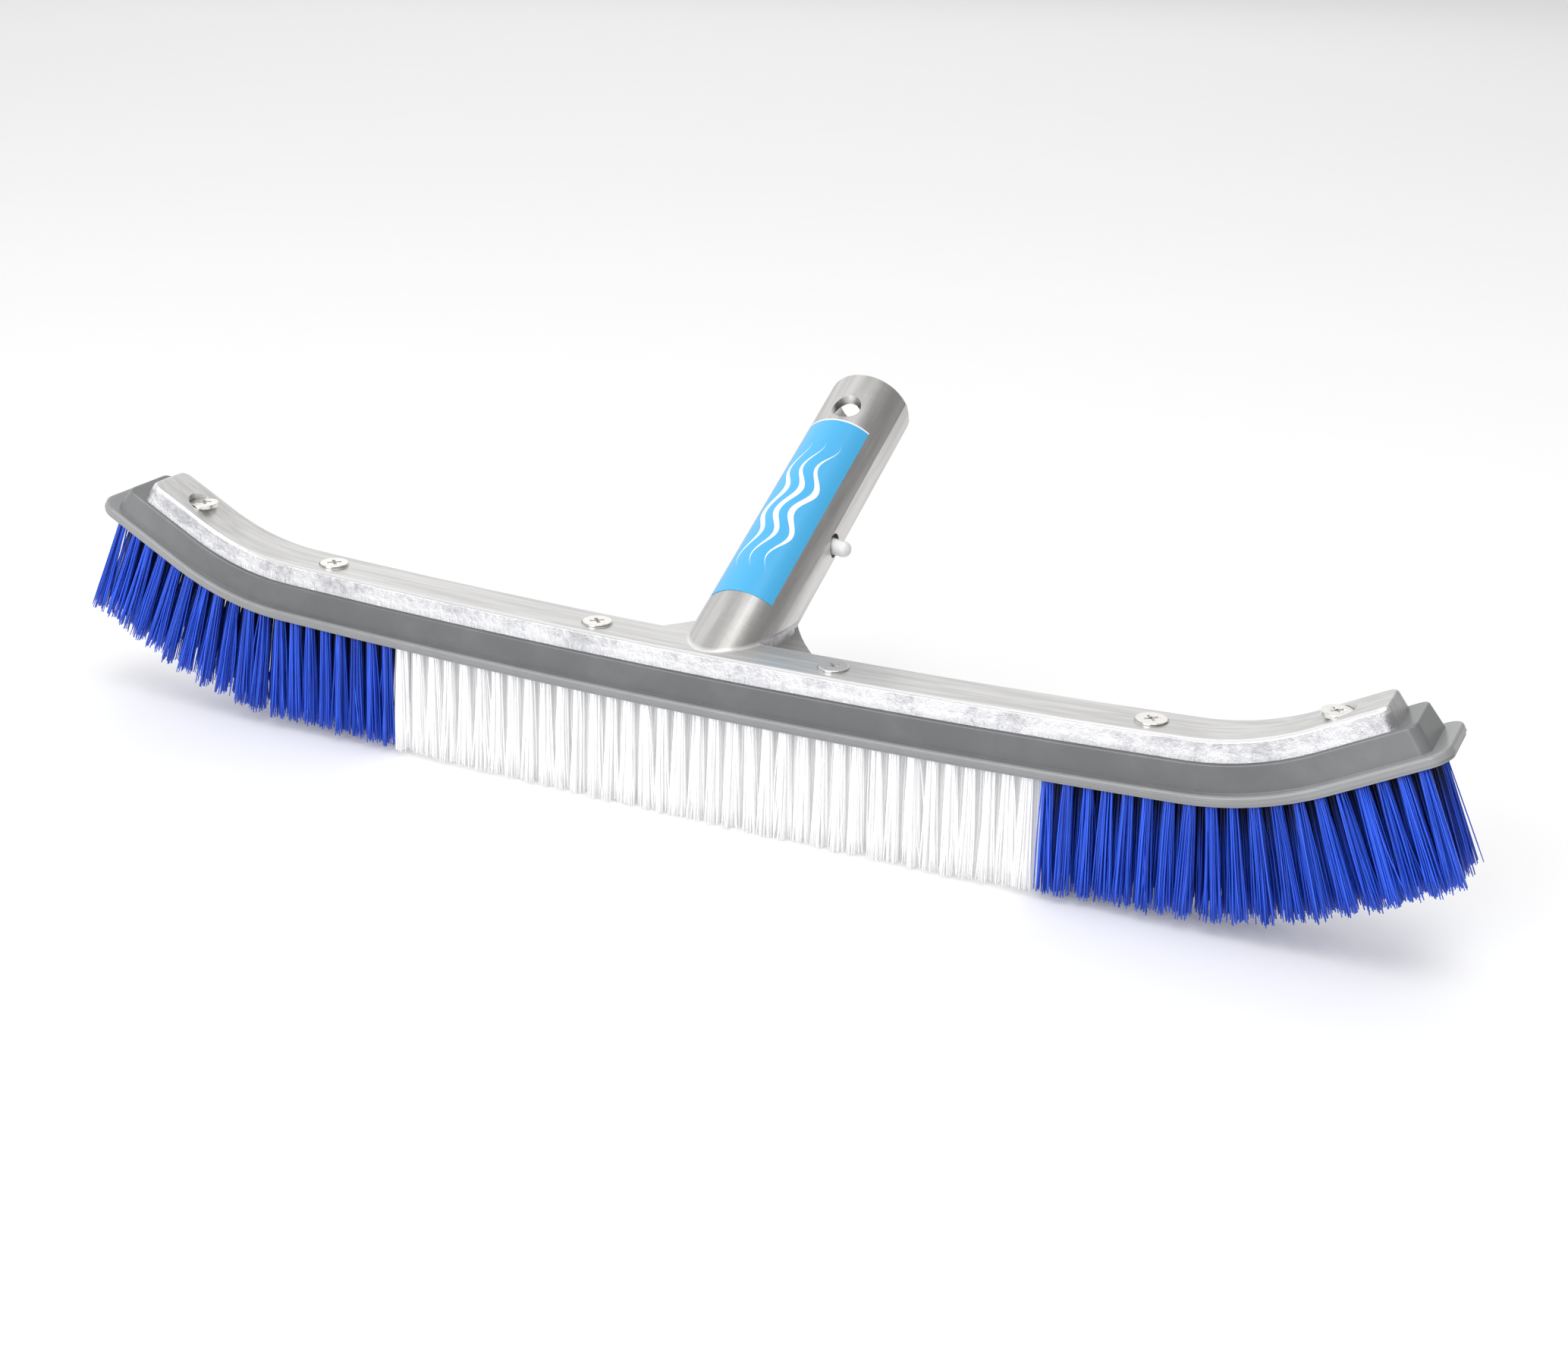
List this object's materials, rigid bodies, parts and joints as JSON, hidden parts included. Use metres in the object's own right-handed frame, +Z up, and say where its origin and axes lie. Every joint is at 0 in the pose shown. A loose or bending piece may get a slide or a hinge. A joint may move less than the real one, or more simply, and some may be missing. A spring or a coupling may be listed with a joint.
{
  "type": "pool wall brush",
  "caption": "Curved wall brush head with a cast metal back, upturned ends, rows of nylon bristle tufts and a leaning tubular handle socket with a spring clip.",
  "frame": {"origin": "tip of the middle bristle tuft, on the plane that the brush stands on", "axes": "+X along the brush, +Y to the back, where the handle socket leans, +Z up, away from the bristle tips"},
  "size_m": [0.4636, 0.1395, 0.115],
  "materials": {
    "cast_aluminium": "satin",
    "grey_plastic": "satin",
    "screw_steel": "bright",
    "label_film": "gloss",
    "white_nylon": "satin",
    "blue_bristle": "satin",
    "white_bristle": "satin",
    "staple_wire": "bright"
  },
  "bodies": {
    "brush": {"back_casting": "cast_aluminium", "brush_block": "grey_plastic", "label": "label_film", "clip_bridge": "white_nylon", "screw_1": "screw_steel", "screw_2": "screw_steel", "screw_3": "screw_steel", "screw_4": "screw_steel", "screw_5": "screw_steel", "screw_6": "screw_steel", "tufts_front_blue_left": "blue_bristle", "tufts_front_white": "white_bristle", "tufts_front_blue_right": "blue_bristle", "tufts_second_blue_left": "blue_bristle", "tufts_second_white": "white_bristle", "tufts_second_blue_right": "blue_bristle", "tufts_middle_blue_left": "blue_bristle", "tufts_middle_white": "white_bristle", "tufts_middle_blue_right": "blue_bristle", "tufts_fourth_blue_left": "blue_bristle", "tufts_fourth_white": "white_bristle", "tufts_fourth_blue_right": "blue_bristle", "tufts_back_blue_left": "blue_bristle", "tufts_back_white": "white_bristle", "tufts_back_blue_right": "blue_bristle", "staples_front": "staple_wire", "staples_second": "staple_wire", "staples_middle": "staple_wire", "staples_fourth": "staple_wire", "staples_back": "staple_wire"},
    "clip_right": {"clip_leg_right": "white_nylon"},
    "clip_left": {"clip_leg_left": "white_nylon"}
  },
  "joints": [
    {"name": "clip_right_squeeze", "type": "hinge", "parent": "brush", "child": "clip_right", "pos_m": [0.0033, 0.02092, 0.05252], "axis": [0, -0.454, 0.891], "range_deg": [0, 7.9], "stiffness_Nm_per_rad": 2, "springref_deg": -2.86},
    {"name": "clip_left_squeeze", "type": "hinge", "parent": "brush", "child": "clip_left", "pos_m": [-0.0033, 0.02092, 0.05252], "axis": [0, 0.454, -0.891], "range_deg": [-5.5, 2.4], "stiffness_Nm_per_rad": 2, "springref_deg": -8.4}
  ]
}
